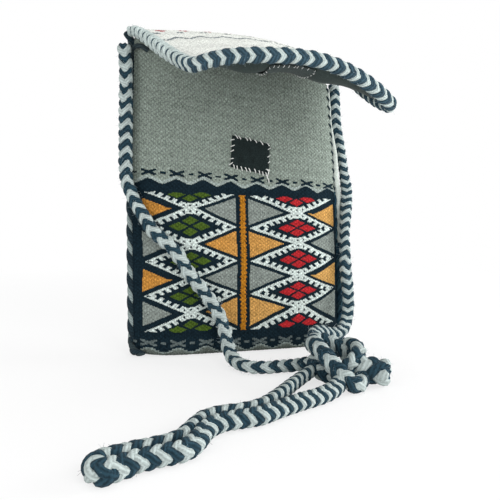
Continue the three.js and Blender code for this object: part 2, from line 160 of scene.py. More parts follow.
def underside(u):
    corner = np.clip((np.abs(u) - CORNER_START) / (1 - CORNER_START), 0, 1)
    return CLOTH / 2 + CORNER_LIFT * corner**2


def fold_radius(u):
    return np.minimum(FOLD_RADIUS, half_depth(u, np.full_like(u, FOLD_RADIUS)))


def wall(u, z, side):
    return np.stack([side_shift(z) + u * half_width(z), side * half_depth(u, z), z], -1)


def base_point(u, t):
    r = fold_radius(u)
    low = underside(u)
    deep = half_depth(u, low + r)
    x = side_shift(low + r) + u * half_width(low + r)
    a = np.clip(np.minimum(t, 1 - t) * 1.5 * math.pi, 0, math.pi / 2)
    bend_y = deep - r * (1 - np.cos(a))
    flat = np.clip(6 * t - 3, -1, 1)
    inner = (t > 1 / 3) & (t < 2 / 3)
    y = np.where(inner, (deep - r) * flat, np.where(t < 0.5, -bend_y, bend_y))
    z = np.where(inner, low, low + r * (1 - np.sin(a)))
    return np.stack([x, y, z], -1)


def flap_edge(u):
    droop = np.where(u < 0, DROOP_LEFT * np.abs(u) ** 5, DROOP_RIGHT * np.abs(u) ** 2.2)
    x = FLAP_SHIFT + FLAP_WIDTH / 2 * u + FLAP_SKEW * u * u
    return np.stack([x, -FLAP_REACH + FLAP_BOW * u * u, FLAP_HEIGHT - droop], -1)


def hermite(start, leave, end, arrive, t):
    """Cubic from start to end, with its directions at both."""
    return (
        start * (2 * t**3 - 3 * t**2 + 1)
        + leave * (t**3 - 2 * t**2 + t)
        + end * (3 * t**2 - 2 * t**3)
        + arrive * (t**3 - t**2)
    )


def flap_point(u, t):
    v = (t * (1 - FLAP_CORNER * np.abs(u) ** 8))[..., None]
    start = wall(u, back_top(u), 1)
    end = flap_edge(u)
    leave = np.array([0, -FLAP_TILT, 1.0]) * mix(MIDDLE_RISE, EDGE_RISE, u * u)[..., None]
    sideways = end[..., 0] - start[..., 0]
    arrive = np.stack([sideways, 0 * u - FLAP_REACH, 0 * u - FLAP_TILT * FLAP_REACH], -1)
    return hermite(start, leave, end, arrive, v)


def cloth_point(u, s):
    u, s = np.broadcast_arrays(np.asarray(u, float), np.asarray(s, float))
    foot = underside(u) + fold_radius(u)
    front = wall(u, mix(front_hem(u), foot, np.clip(s, 0, 1)), -1)
    base = base_point(u, np.clip(s - 1, 0, 1))
    back = wall(u, mix(foot, back_top(u), np.clip(s - 2, 0, 1)), 1)
    flap = flap_point(u, np.clip(s - 3, 0, 1))
    zone = s[..., None]
    return np.where(zone <= 1, front, np.where(zone < 2, base, np.where(zone <= 3, back, flap)))


def cloth_normal(u, s):
    d = 1e-3
    across = cloth_point(np.minimum(u + d, 1), s) - cloth_point(np.maximum(u - d, -1), s)
    along = cloth_point(u, np.minimum(s + d, 4)) - cloth_point(u, np.maximum(s - d, 0))
    n = np.cross(along, across)
    size = np.linalg.norm(n, axis=-1, keepdims=True)
    return np.where(size > 1e-7, n / np.maximum(size, 1e-7), np.array([0, 0, -1.0]))


def lifted(u, s, lift):
    u, s, lift = np.broadcast_arrays(np.asarray(u, float), np.asarray(s, float), np.asarray(lift, float))
    return cloth_point(u, s) + cloth_normal(u, s) * lift[..., None]


def front_station(u, z):
    foot = underside(u) + fold_radius(u)
    return (front_hem(u) - z) / (front_hem(u) - foot)


def on_front(x, z, lift):
    u = np.asarray(x, float) / (BASE_WIDTH / 2)
    return lifted(u, front_station(u, np.asarray(z, float)), lift)


# Meshes
LOWEST = 0.05


def unit(v):
    return v / np.maximum(np.linalg.norm(v, axis=-1, keepdims=True), 1e-9)


def lengths_along(line):
    steps = np.linalg.norm(np.diff(line[:, :3], axis=0), axis=1)
    return np.concatenate([[0], np.cumsum(steps)])


def new_object(name, verts, faces, materials):
    mesh = bpy.data.meshes.new(name)
    mesh.from_pydata([tuple(v) for v in np.asarray(verts) * MM], [], faces)
    for material in materials:
        mesh.materials.append(material)
    mesh.polygons.foreach_set("use_smooth", [True] * len(mesh.polygons))
    obj = bpy.data.objects.new(name, mesh)
    bpy.context.scene.collection.objects.link(obj)
    return obj


def grid_faces(rows, columns):
    a = (np.arange(rows - 1)[:, None] * columns + np.arange(columns - 1)[None, :]).ravel()
    return np.stack([a, a + columns, a + columns + 1, a + 1], -1)


class Tubes:
    """Gathers tubes of any section into one mesh: a material for each, and a map of round and along."""

    def __init__(self):
        self.verts = []
        self.faces = []
        self.slots = []
        self.maps = []
        self.count = 0

    def add(self, rings, slot=0, closed=False):
        rings = np.asarray(rings)
        n, sides, _ = rings.shape
        j = np.arange(n if closed else n - 1)[:, None]
        k = np.arange(sides)[None, :]
        ahead, beside = (j + 1) % n, (k + 1) % sides
        quads = np.stack([j * sides + k, j * sides + beside, ahead * sides + beside, ahead * sides + k], -1)
        way = lengths_along(rings.mean(1))
        near = np.broadcast_to(way[j], quads.shape[:2])
        far = np.broadcast_to(np.append(way, way[-1] + 1)[j + 1], quads.shape[:2])
        first = np.broadcast_to(k / sides, near.shape)
        second = np.broadcast_to((k + 1) / sides, near.shape)
        corners = np.stack([first, near, second, near, second, far, first, far], -1)
        self.faces += (quads.reshape(-1, 4) + self.count).tolist()
        self.maps.append(corners.reshape(-1, 2))
        self.slots += [slot] * quads[..., 0].size
        if not closed:
            cap = np.arange(sides)
            self.faces.append((self.count + cap[::-1]).tolist())
            self.faces.append((self.count + (n - 1) * sides + cap).tolist())
            self.maps.append(np.zeros((2 * sides, 2)))
            self.slots += [slot] * 2
        self.verts.append(rings.reshape(-1, 3))
        self.count += n * sides

    def build(self, name, materials):
        verts = np.concatenate(self.verts)
        verts[:, 2] = np.maximum(verts[:, 2], LOWEST)
        obj = new_object(name, verts, self.faces, materials)
        obj.data.polygons.foreach_set("material_index", self.slots)
        layer = obj.data.uv_layers.new(name="yarn")
        layer.data.foreach_set("uv", np.concatenate(self.maps).astype(np.float32).ravel())
        return obj


def knot_step(a, b):
    return max(np.linalg.norm((b - a)[:3]), 1e-6) ** 0.5


def smooth_path(points, step, closed=False):
    """Centripetal spline through the points, then even steps along it; columns past xyz go along."""
    p = np.asarray(points, float)
    ends = [p[-1], *p, p[0], p[1]] if closed else [2 * p[0] - p[1], *p, 2 * p[-1] - p[-2]]
    t = np.linspace(0, 1, 24, endpoint=False)[:, None]
    out = []
    for i in range(1, len(ends) - 2):
        a, b, c, d = ends[i - 1 : i + 3]
        ta, tb, tc = knot_step(a, b), knot_step(b, c), knot_step(c, d)
        leave = tb * ((b - a) / ta - (c - a) / (ta + tb) + (c - b) / tb)
        arrive = tb * ((c - b) / tb - (d - b) / (tb + tc) + (d - c) / tc)
        out.append(hermite(b, leave, c, arrive, t))
    line = np.concatenate([*out, [ends[-2]]])
    way = lengths_along(line)
    n = max(int(round(way[-1] / step)), 4)
    at = np.linspace(0, way[-1], n + 1)
    even = np.stack([np.interp(at, way, line[:, k]) for k in range(p.shape[1])], -1)
    return (even[:-1], at[:-1]) if closed else (even, at)


def transport(path, first):
    """Normals carried along a path without twist."""
    t = unit(np.gradient(path, axis=0))
    n = np.zeros_like(path)
    v = np.asarray(first, float)
    for i in range(len(path)):
        v = v - t[i] * (v @ t[i])
        v = v / np.linalg.norm(v)
        n[i] = v
    return t, n


def section_rings(line, outward, thick, wide, sides):
    """Rings of an oval section round a line."""
    t = unit(np.gradient(line, axis=0))
    r = unit(outward - t * np.sum(outward * t, -1, keepdims=True))
    b = np.cross(t, r)
    phi = np.linspace(0, 2 * math.pi, sides, endpoint=False)[None, :]
    thick = np.broadcast_to(np.asarray(thick, float), (len(line),))[:, None]
    wide = np.broadcast_to(np.asarray(wide, float), (len(line),))[:, None]
    a = (thick * np.cos(phi))[..., None] * r[:, None, :]
    c = (wide * np.sin(phi))[..., None] * b[:, None, :]
    return line[:, None, :] + a + c


def thread_rings(line, radius, sides):
    """Rings of a thin round thread."""
    return section_rings(line, np.gradient(line, axis=0)[:, [1, 2, 0]], radius, radius, sides)


# A strand's place and section, as shares of the plait's width
STRAND_ORBIT, STRAND_CROSSING = 0.27, 0.06
STRAND_THICK, STRAND_WIDE, STRAND_SIDES = 0.165, 0.185, 12


def plait(tubes, path, way, t, n, across, pitch, turn=0.0, flat=1.0, closed=False, pale=0.0):
    """Eight-strand plait in two colours: four strands go round each way and cross in four columns."""
    b = np.cross(t, n)
    count = len(way)
    if closed:
        total = way[-1] + way[1]
        w = math.pi * max(round(2 * total / pitch), 1) / total * way
        lap = np.r_[count - 3 : count, 0:count, 0:3]
    else:
        w = 2 * math.pi * np.cumsum(np.gradient(way) / pitch) + 0.15 * np.sin(way / 9.7)
        lap = np.arange(count)
        tips = np.clip(np.minimum(way, way[-1] - way) / 1.5, 0.35, 1) ** 0.5
    for sense in (1, -1):
        for i in range(4):
            theta = sense * w + i * math.pi / 2 + (0.3 if sense < 0 else 0)
            r = across * (STRAND_ORBIT + STRAND_CROSSING * sense * np.cos(2 * theta))
            angle = theta + turn
            e = flat * np.cos(angle)[:, None] * n + np.sin(angle)[:, None] * b
            line = path + e * r[:, None]
            slot = (i + (sense < 0)) % 2
            uneven = 1 + 0.07 * np.sin(way * 0.41 + i * 1.7 + sense)
            full = uneven * (1.06 - 0.45 * pale if slot == 0 else 0.97 + 0.3 * pale)
            if not closed:
                full = full * tips
            thick = across * STRAND_THICK * full
            wide = across * STRAND_WIDE * full
            rings = section_rings(line[lap], e[lap], thick[lap], wide[lap], STRAND_SIDES)
            tubes.add(rings[3:-3] if closed else rings, slot, closed)


# Materials, with the ribs and picks of the weave in millimetres
RIB, PICK = 3.4, 2.9


def nodes_of(name):
    material = bpy.data.materials.new(name)
    material.use_nodes = True
    tree = material.node_tree
    return material, tree, tree.nodes["Principled BSDF"]


def wool(
    name, colour, spread=0.25, scale=900.0, rough=0.95, bump=0.25, attribute=None, sheen=0.05, yarns=0
):
    """Matt wool: colour broken up by fibre noise, a fine bump, and the yarns that lie along a strand."""
    material, tree, shader = nodes_of(name)
    new, link = tree.nodes.new, tree.links.new

    def maths(operation, *values):
        node = new("ShaderNodeMath")
        node.operation = operation
        for socket, value in zip(node.inputs, values):
            if isinstance(value, (int, float)):
                socket.default_value = value
            else:
                link(value, socket)
        return node.outputs["Value"]

    def plus(first, second):
        return maths("ADD", first, second)

    def times(first, second):
        return maths("MULTIPLY", first, second)

    def noise(size, detail):
        node = new("ShaderNodeTexNoise")
        node.inputs["Scale"].default_value = size
        node.inputs["Detail"].default_value = detail
        link(place.outputs["Object"], node.inputs["Vector"])
        return node.outputs["Fac"]

    place = new("ShaderNodeTexCoord")
    relief = noise(scale, 3)
    patchy = noise(160, 2)
    along = new("ShaderNodeUVMap")
    along.uv_map = "yarn"
    parts = new("ShaderNodeSeparateXYZ")
    link(along.outputs["UV"], parts.inputs["Vector"])
    across, onward = parts.outputs["X"], parts.outputs["Y"]
    if attribute:
        stray = plus(times(relief, 2.0), times(patchy, 3.5))
        warp = maths("SINE", plus(times(across, 2 * math.pi / RIB), stray))
        weft = maths("SINE", plus(times(onward, 2 * math.pi / PICK), stray))
        lattice = plus(times(warp, weft), times(times(warp, warp), 0.8))
        relief = plus(times(relief, 0.6), times(lattice, 0.13))
    if yarns:
        phase = plus(times(across, 2 * math.pi * yarns), onward)
        ridge = maths("SINE", plus(phase, times(relief, 2.5)))
        relief = plus(times(relief, 0.7), times(ridge, 0.16))
    ramp = new("ShaderNodeMapRange")
    low, high = (0.12, 0.52) if yarns else (0.16, 0.56) if attribute else (0.3, 0.7)
    ramp.inputs["From Min"].default_value = low
    ramp.inputs["From Max"].default_value = high
    ramp.inputs["To Min"].default_value = 1 - spread
    ramp.inputs["To Max"].default_value = 1 + spread
    link(relief, ramp.inputs["Value"])
    tint = new("ShaderNodeVectorMath")
    tint.operation = "SCALE"
    if attribute:
        source = new("ShaderNodeVertexColor")
        source.layer_name = attribute
        link(source.outputs["Color"], tint.inputs[0])
    else:
        tint.inputs[0].default_value = colour
    mottle = 0.13 if attribute else spread
    slow = plus(times(patchy, 2 * mottle), 1 - mottle)
    link(times(ramp.outputs["Result"], slow), tint.inputs["Scale"])
    link(tint.outputs["Vector"], shader.inputs["Base Color"])
    height = new("ShaderNodeBump")
    height.inputs["Strength"].default_value = bump
    height.inputs["Distance"].default_value = 0.0004
    link(relief, height.inputs["Height"])
    link(height.outputs["Normal"], shader.inputs["Normal"])
    shader.inputs["Roughness"].default_value = rough
    shader.inputs["Specular IOR Level"].default_value = 0.06
    shader.inputs["Sheen Weight"].default_value = sheen
    shader.inputs["Sheen Roughness"].default_value = 0.6
    return material


woven = wool("woven_wool", GREY, spread=0.36, attribute="weave", sheen=0.0, bump=0.5)
braid_navy = wool("plait_navy", (0.015, 0.038, 0.054), spread=0.45, scale=1100, bump=0.8, yarns=6)
braid_white = wool("plait_white", (0.39, 0.45, 0.44), spread=0.24, scale=1100, bump=0.8, yarns=6)
# Lighter copies of the plait wools for the flap's edging: painted light for the brightly lit top of the
# flap
lit_flap_navy = wool("flap_plait_navy_lit", (0.028, 0.056, 0.076), spread=0.45, scale=1100, bump=0.8, yarns=6)
lit_flap_white = wool("flap_plait_white_lit", (0.44, 0.51, 0.495), spread=0.24, scale=1100, bump=0.8, yarns=6)
edge_navy = wool("edge_navy", (0.012, 0.024, 0.032), spread=0.4, scale=1100, yarns=5)
# Dark ply that stands in for the grey one where the left binding lies in shade: painted shade
edge_shaded_dark = wool("edge_shaded_dark", (0.03, 0.045, 0.05), spread=0.4, scale=1100, yarns=5)
edge_blue = wool("edge_blue", (0.012, 0.036, 0.056), spread=0.45, scale=1100, yarns=5)
edge_teal = wool("edge_teal", (0.026, 0.062, 0.08), spread=0.45, scale=1100, yarns=5)
edge_grey = wool("edge_grey", (0.23, 0.28, 0.275), spread=0.25, scale=1100, yarns=5)
edge_pale = wool("edge_pale", (0.48, 0.53, 0.49), spread=0.2, scale=1100)
pale_fibre = wool("pale_fibre", (0.36, 0.43, 0.46), spread=0.1)
hem_grey = wool("hem_grey", (0.17, 0.19, 0.17), spread=0.25)
thread_white = wool("thread_white", (0.75, 0.76, 0.74), spread=0.1, scale=2000, bump=0.1)
loop_fuzz = wool("loop_fuzz", (0.011, 0.018, 0.018), spread=0.5, scale=1500, bump=0.8)
lining_cloth = wool("lining_cloth", (0.03, 0.045, 0.042), spread=0.3, scale=1300, rough=0.6, bump=0.2)
flap_felt = wool("flap_felt", (0.045, 0.06, 0.058), spread=0.3, scale=1500, bump=0.5)

# Camera
scene = bpy.context.scene
camera = bpy.data.objects.new("camera", bpy.data.cameras.new("camera"))
scene.collection.objects.link(camera)
camera.data.sensor_width = 36
camera.data.lens = 38.4
camera.location = (-0.0848, -0.399, 0.11)
camera.rotation_euler = (math.radians(90 - 4.83), 0, math.radians(-13.24))
camera.data.clip_start = 0.01
scene.camera = camera


# Strap: two runs, the loop and the turns of the knot
ACROSS, FLATNESS, PITCH = 10.3, 0.74, 20.0
KNOT_ACROSS, KNOT_FLATNESS, KNOT_PITCH, KNOT_TURN = 12.0, 0.78, 24.0, 0.2
EAR_ACROSS, EAR_FLATNESS, EAR_PITCH = 17.2, 0.95, 30.0
EAR_SHIFT = (1.5, 0, 1.1)
STRAP_STEP = 0.8
FACING_V = -math.pi / 4


def strap(
    name,
    route,
    first,
    node,
    twist,
    roll=((0, 0),),
    pitch=((0, PITCH),),
    pale=((0, 0),),
    girth=((0, 1),),
):
    """One run of the strap. Each list gives values at shares of its length: twist turns the plait
    in its own section and roll turns the flat section, in degrees; pitch is in millimetres; pale
    thickens the white strands and thins the navy ones; girth swells the whole plait."""
    path, way = smooth_path(np.array(route) / MM, STRAP_STEP)
    t, n = transport(path, first)

    def along(pairs):
        shares, values = zip(*pairs)
        return np.interp(way / way[-1], shares, values)

    lie = np.radians(along(roll))[:, None]
    n = np.cos(lie) * n + np.sin(lie) * np.cross(t, n)
    turn = np.radians(along(twist))
    tubes = Tubes()
    plait(tubes, path, way, t, n, ACROSS * along(girth), along(pitch), turn, FLATNESS, pale=along(pale))
    obj = tubes.build(name, [braid_navy, braid_white])
    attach(obj, "root")
    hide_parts(node)
    return obj, path[::6] * MM, way[-1] * MM


left_run, left_path, left_length = strap(
    "strap_left_plait",
    LEFT_ROUTE,
    (0, -1, 0),
    "strap_left_run",
    twist=[
        (0, -45), (0.09, -38), (0.15, 2), (0.2, 16), (0.27, 20),
        (0.31, 45), (0.4, 60), (0.47, 88), (0.8, 88), (1, 75),
    ],
    pitch=[(0, 20), (0.4, 20), (0.46, 26), (0.78, 25), (0.86, 20), (1, 20)],
    pale=[(0, 0.5), (0.1, 0.3), (0.2, 0), (0.42, 0), (0.5, 0.45), (0.75, 0.45), (0.88, 0.1), (1, 0)],
)
right_run, right_path, right_length = strap(
    "strap_right_plait",
    RIGHT_ROUTE,
    (0, -1, 0),
    "strap_right_run",
    twist=[
        (0, 0), (0.06, 23), (0.09, 45), (0.135, 40), (0.175, 30), (0.21, 25), (0.26, 30),
        (0.29, 60), (0.32, 115), (0.35, 160), (0.39, 170), (0.48, 132), (0.505, 180),
        (0.53, 245), (0.566, 290), (0.61, 305), (0.67, 340), (0.74, 325), (1, 315),
    ],
    roll=[
        (0, 40), (0.06, 20), (0.09, 10), (0.135, 30), (0.175, 60), (0.21, 85), (0.26, 85), (0.29, 60),
        (0.32, 20), (0.35, 0), (0.39, 30), (0.48, 75), (0.505, 40), (0.53, 5), (0.566, 0), (1, 0),
    ],
    pitch=[
        (0, 15), (0.25, 15), (0.33, 12), (0.38, 12.5), (0.45, 15),
        (0.53, 17), (0.6, 15.2), (0.75, 16), (1, 19),
    ],
    girth=[
        (0, 0.95), (0.15, 0.93), (0.2, 0.87), (0.27, 0.87),
        (0.34, 0.96), (0.47, 0.87), (0.54, 0.98), (1, 1),
    ],
)
loop, loop_path, loop_length = strap(
    "strap_loop_plait",
    LOOP_ROUTE,
    (0, -0.85, 0.5),
    "strap_loop",
    twist=[(0, -22)],
    pitch=[(0, 12), (0.22, 14), (0.4, 19), (0.6, 19), (0.8, 15), (1, 14)],
    girth=[(0, 1), (0.43, 1), (0.49, 1.16), (0.53, 1.16), (0.6, 1), (1, 1)],
)

turns = Tubes()
for ring in (KNOT_FRONT, KNOT_ROUND):
    path, way = smooth_path(np.array(ring) / MM, STRAP_STEP, closed=True)
    t = unit(np.roll(path, -1, 0) - np.roll(path, 1, 0))
    n = path - path.mean(0)
    n = unit(n - t * np.sum(n * t, -1, keepdims=True))
    plait(turns, path, way, t, n, KNOT_ACROSS, KNOT_PITCH, KNOT_TURN, KNOT_FLATNESS, closed=True)
path, way = smooth_path(np.array(KNOT_EAR) / MM, STRAP_STEP)
t, n = transport(path, (0, -0.6, 0.8))
plait(turns, path + EAR_SHIFT, way, t, n, EAR_ACROSS, EAR_PITCH, FACING_V, EAR_FLATNESS)
knot = turns.build("strap_knot_turns", [braid_navy, braid_white])
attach(knot, "root")
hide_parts("strap_knot")

# Kilim pattern in cloth millimetres: x from the centre line, z above the base.
# Levels of the field: its lower edge, the four crossings of the frames and its upper edge,
# as woven on the left and on the right, with a far level at each end so that the rest just moves along
LEFT_LEVELS = (-81.8, 18.2, 32.1, 57.0, 81.6, 107.7, 118.7, 218.7)
RIGHT_LEVELS = (-82.2, 17.8, 33.2, 56.7, 81.1, 103.6, 115.7, 215.7)
EVEN_LEVELS = (-81.5, 18.5, 31.0, 56.0, 81.0, 106.0, 118.5, 218.5)
FIELD_LOW, DIAMOND = 18.5, 25.0
FIELD_HIGH = FIELD_LOW + 4 * DIAMOND
TOP_EDGE, TOP_WAVE, TOP_REPEAT, TOP_MARKS = 123.4, 4.1, 20.05, 130.4
LOW_EDGE, LOW_WAVE, LOW_REPEAT, LOW_MARKS = 7.4, 3.4, 20.2, 9.6
LEFT_CENTRE, RIGHT_CENTRE = -39.0, 42.8
BLUNT = 4.2


def lozenge(dx, dy, long, tall):
    return np.abs(dx) / long + np.abs(dy) / tall < 1


def wave(x, period, peak):
    """1 at each peak and 0 half-way between, with straight-ish flanks."""
    saw = 1 - np.abs(((x - peak) / period + 0.5) % 1 - 0.5) * 2
    return mix(saw, 0.5 - 0.5 * np.cos(math.pi * saw), 0.5)


def crosses(x, dy, period, centre, arm):
    """A row of flat X marks with a short dash between each two."""
    dx = (x - centre + period / 2) % period - period / 2
    arms = np.abs(np.abs(dx) * 0.38 - np.abs(dy)) < 0.95
    arms &= (np.abs(dx) < arm) & (np.abs(dy) < 0.44 * arm)
    gap = (x - centre) % period - period / 2
    dash = (np.abs(gap) < 1.9) & (np.abs(dy + 0.2) < 0.7)
    return arms | dash


def pattern(x, z):
    """Colour and height of the brocade at each stitch of the front panel."""
    t = np.clip((x - LEFT_CENTRE) / (RIGHT_CENTRE - LEFT_CENTRE), -0.4, 1.4)
    h = mix(np.interp(z, LEFT_LEVELS, EVEN_LEVELS), np.interp(z, RIGHT_LEVELS, EVEN_LEVELS), t)
    h = h + 0.25 * np.sin(x / 11 + 0.6) + 0.2 * np.sin(x / 4.3)
    wander = x + 0.4 * np.sin(z / 21 + 1.1) + 0.25 * np.sin(z / 6.3)
    colour = np.empty(x.shape + (3,))
    colour[:] = GREY
    lift = np.zeros(x.shape)

    def paint(where, value, height):
        colour[where] = value
        lift[where] = height

    # Borders with toothed edges and rows of marks
    top_edge = TOP_EDGE - 0.9 * (t - 0.5) + TOP_WAVE * wave(x, TOP_REPEAT, 11.7)
    low_edge = LOW_EDGE - LOW_WAVE * wave(x, LOW_REPEAT, 2.1)
    top_marks = crosses(x, h - (TOP_MARKS - 2.4 * (t - 0.5)), TOP_REPEAT, 12.4, 5.3)
    low_marks = crosses(x, h - (LOW_MARKS - 1.2 * (t - 0.5)), LOW_REPEAT, 12.2, 5.6)
    paint((h > top_edge) & (h < top_edge + 2.3), PALE_GREY, 0.1)
    paint((h > 125) & top_marks, NAVY, 0.25)
    paint((h < top_edge) & (h > low_edge), NAVY, 0.0)
    # Below the lower border the grey is darker: painted shade where the cloth curves under
    paint(h < low_edge, LOW_GREY_SHADED, 0.0)
    paint((h < low_edge) & (h > low_edge - 1.1), STEP_GREY, 0.1)
    paint((h > low_edge + 0.4) & (h < 14) & low_marks, DIM_GREY, 0.25)

    # White frames, notched on the inside
    field = (h > FIELD_LOW) & (h < FIELD_HIGH)
    left = wander < 0
    p = np.where(left, LEFT_CENTRE - wander, wander - RIGHT_CENTRE)
    half = np.where(left, np.where(p > 0, 32.4, 34.5), np.where(p > 0, 32.2, 37.7)) - BLUNT
    slope = 1 / np.hypot(1 / half, 2 / DIAMOND)
    k = np.clip(np.round((h - FIELD_LOW) / DIAMOND), 0, 4)
    q = h - (FIELD_LOW + k * DIAMOND)
    d = np.maximum(np.abs(p) - BLUNT, -1.5) / half + np.abs(q) / (DIAMOND / 2)
    depth = (1 - d) * slope
    inside = field & (d < 1)
    solid = np.where(left, 1.45, 1.8)
    band = np.where(left, 4.2, 4.6)
    notch = ((np.abs(p) + 0.78 * depth) / 4.8) % 1 < 0.45
    notch &= (depth > solid) & (depth < band) & (np.abs(p) > 4) & (np.abs(p) < 29)
    paint(inside & (depth < band), WHITE, 0.45)
    paint(inside & notch, NAVY, 0.0)
    spots = lozenge(np.abs(p) - 29.5, q, 1.1, 0.9) | lozenge(p, np.abs(q) - 10.4, 1.1, 0.9)
    paint(inside & spots, NAVY, 0.0)

    # A flower of four lozenges in each frame; the cut frames at the ends have half flowers
    full = (k > 0) & (k < 4)
    size = np.where(left, 0.98, 1.02)
    flower = full & lozenge(np.abs(p) - 8.2, q, 6.9 * size, 3.1 * size)
    flower |= full & lozenge(p, np.abs(q) - 3.85, 5.9 * size, 3.1 * size)
    flower |= ~full & lozenge(np.abs(p) - 9.2, np.abs(q) - 1.7, 6.6, 2.7)
    flower |= ~full & lozenge(p, np.abs(q) - 4.6, 5.6, 2.9)
    flower &= inside & (depth > 3.2)
    paint(flower & left, GREEN, 0.5)
    paint(flower & ~left, RED, 0.5)

    # Triangles between the frames, ochre and grey by turns
    away = (d - 1) * slope
    between = np.floor((h - FIELD_LOW) / DIAMOND)
    outer = p > 0
    margin = np.where(outer, np.where(left, 3.8, 2.7), 2.4)
    past_side = np.where(left, -72.3 - wander, wander - 76.5)
    past_bar = np.where(left, wander + 4.8, 4.8 - wander)
    reach = np.where(outer, past_side, past_bar)
    ochre = np.where(outer, between % 2 == 1, between % 2 == 0)
    upper = h > FIELD_LOW + (between + 0.5) * DIAMOND
    margin = margin + np.where(outer & ochre, np.where(upper, 1.4, -0.6), 0)
    triangle = field & (away > margin) & (reach < 0)
    # The ochre turns paler towards the right and towards the bottom of the field
    ochre_share = np.clip(0.7 * t + 0.8 * (0.75 - h / 120), 0, 1)[..., None]
    ochre_tone = mix(np.array(OCHRE), np.array(PALE_OCHRE), ochre_share)
    paint(triangle & ochre, ochre_tone[triangle & ochre], 0.2)
    paint(triangle & ~ochre, FIELD_GREY, 0.2)

    # The bar between the two columns
    axis = wander - 0.1 - 0.006 * (z - 70)
    bar = (np.abs(axis) < 2.15 + 0.4 * np.sin(z * 1.9)) & (h > FIELD_LOW - 0.2) & (h < FIELD_HIGH - 0.4)
    paint(bar, BAR, 0.5)
    paint(bar & (np.abs(axis) > 1.6) & (np.sin(z * 2.1 + 2 * axis) > 0.6), NAVY, 0.4)
    return colour, lift


# Cloth: one strip in two meshes that meet under the base, with a vertex grid at the pitch of the weave
FRONT_COLUMNS, BACK_COLUMNS = 264, 204
PATTERN_END, FLAP_START = 1.33, 3.02
FLAP_LINE, FLAP_LOZENGES, FLAP_DASHES, FLAP_REPEAT = 3.56, 3.37, 3.45, 0.25
front_rows = np.concatenate([np.linspace(0, 1, 359), np.linspace(1, 1.5, 13)[1:]])
back_rows = np.concatenate(
    [np.linspace(1.5, 2, 13), np.linspace(2, 3, 181)[1:], np.linspace(3, 4, 141)[1:]]
)


def woven_at(u, s):
    """Pattern at a place of the strip; below the front fold it goes on by the length of the cloth."""
    foot = underside(u) + fold_radius(u)
    z = mix(front_hem(u), foot, np.clip(s, 0, 1)) - fold_radius(u) * np.clip(s - 1, 0, 1) * 1.5 * math.pi
    colour, rise = pattern(u * BASE_WIDTH / 2, z)
    behind = s > PATTERN_END
    colour[behind] = GREY
    rise[behind] = 0
    flap = s > FLAP_START
    colour[flap] = FLAP_PALE
    line = FLAP_LINE + 0.035 * wave(u, FLAP_REPEAT, 0.05)
    mark = (u / FLAP_REPEAT - 0.05) % 1
    colour[flap & (np.abs(s - line) < 0.011)] = FLAP_DARK
    colour[flap & lozenge(s - FLAP_LOZENGES, mark - 0.5, 0.045, 0.27)] = FLAP_RED
    colour[flap & (np.abs(s - FLAP_DASHES) < 0.012) & (mark < 0.3)] = FLAP_DARK
    return colour, rise


def weave(name, columns, rows, *nodes):
    """A part of the strip with its ribs, its brocade and a colour for each stitch."""
    edges = np.linspace(-1, 1, columns + 1)
    u, s = np.meshgrid(edges, rows)
    rib = np.sin(2 * math.pi * u * BASE_WIDTH / 2 / RIB)
    pick = np.sin(2 * math.pi * s * FRONT_HEIGHT / PICK)
    stitch = 0.08 * rib + 0.12 * rib * pick + rng.normal(0, 0.09, u.shape)
    points = lifted(u, s, CLOTH / 2 + stitch + woven_at(u, s)[1])
    obj = new_object(name, points.reshape(-1, 3), grid_faces(len(rows), columns + 1).tolist(), [woven])
    cu, cs = np.meshgrid((edges[:-1] + edges[1:]) / 2, (rows[:-1] + rows[1:]) / 2)
    tint = woven_at(cu, cs)[0]
    rough = np.where(cs > FLAP_START, 0.3, 1.0)
    shade = 1 + rough * rng.normal(0, 0.17, cu.shape)
    shade *= 1 + 0.05 * rough * np.sin(cs * 190 + rng.normal(0, 0.3, (len(rows) - 1, 1)))
    tint = np.clip(tint * np.clip(shade, 0.4, 1.6)[..., None], 0, 1)
    layer = obj.data.color_attributes.new("weave", "FLOAT_COLOR", "CORNER")
    opaque = np.ones((tint[..., 0].size, 1))
    corner = np.repeat(np.concatenate([tint.reshape(-1, 3), opaque], 1), 4, axis=0)
    layer.data.foreach_set("color", corner.astype(np.float32).ravel())
    flat = np.stack([u * BASE_WIDTH / 2, s * FRONT_HEIGHT], -1)
    corners = np.stack([flat[:-1, :-1], flat[1:, :-1], flat[1:, 1:], flat[:-1, 1:]], 2)
    yarn = obj.data.uv_layers.new(name="yarn")
    yarn.data.foreach_set("uv", corners.astype(np.float32).ravel())
    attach(obj, "root")
    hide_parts(*nodes)
    return obj


cloth = weave("kilim_cloth", FRONT_COLUMNS, front_rows, "pouch_cloth")
back_cloth = weave("kilim_back", BACK_COLUMNS, back_rows, "pouch_cloth", "flap_cloth")

# Lining: it sags in two bellies under the open flap
LINING_ROWS, LINING_COLUMNS = 261, 81


def sag(u, s):
    """How far the lining hangs off the cloth."""
    t = np.clip((s - 3.45) / 0.55, 0, 1)
    bow = np.sin(math.pi * t**1.6)
    bellies = 4.0 * np.exp(-(((u + 0.3) / 0.26) ** 2)) + 4.0 * np.exp(-(((u - 0.5) / 0.2) ** 2))
    return bow * (7.2 + bellies) * (1 - np.abs(u) ** np.where(u > 0, 3, 6))


lu, ls = np.meshgrid(np.linspace(-0.95, 0.95, LINING_COLUMNS), np.linspace(0.015, 3.98, LINING_ROWS))
soft = 0.4 * np.sin(lu * 9 + ls * 2) * np.sin(ls * 5) * np.clip(ls - 3, 0, 1)
inner = lifted(lu, ls, -CLOTH / 2 + GAP + soft - sag(lu, ls))
inner_faces = grid_faces(LINING_ROWS, LINING_COLUMNS)[:, ::-1].tolist()
lining = new_object("lining_sheet", inner.reshape(-1, 3), inner_faces, [lining_cloth])
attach(lining, "root")
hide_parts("lining")

